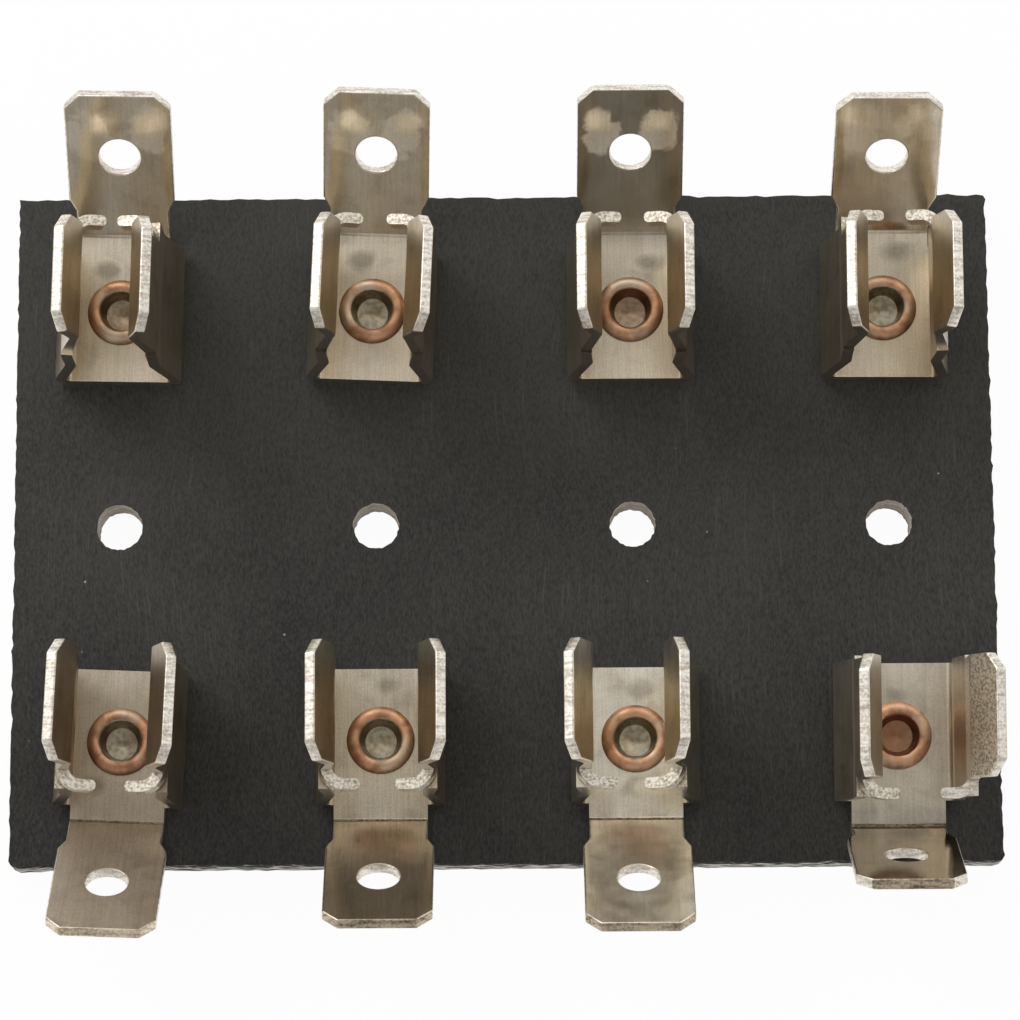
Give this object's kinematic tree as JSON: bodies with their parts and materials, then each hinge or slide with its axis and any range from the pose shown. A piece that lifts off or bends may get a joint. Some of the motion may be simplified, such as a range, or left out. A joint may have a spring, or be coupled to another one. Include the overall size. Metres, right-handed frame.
{
  "type": "fuse block",
  "caption": "Flat insulating board with two facing rows of riveted spring clips that hold glass tube fuses, each clip ending in a push-on tab.",
  "frame": {"origin": "centre of the board's flat back face", "axes": "+X along the board across the fuses, +Y along the fuses to the far row of tabs, +Z out of the board through the clips"},
  "size_m": [0.0584, 0.0502, 0.0161],
  "materials": {
    "board": "satin black fibre board with sheared edges",
    "clip": "nickel plate with a warm tarnish",
    "rivet": "copper, worn on the rolled rims"
  },
  "bodies": {
    "root": {"board": "board", "clip_1": "clip", "clip_2": "clip", "clip_3": "clip", "clip_4": "clip", "clip_5": "clip", "clip_6": "clip", "clip_7": "clip", "clip_8": "clip", "rivets": "rivet"}
  },
  "joints": []
}
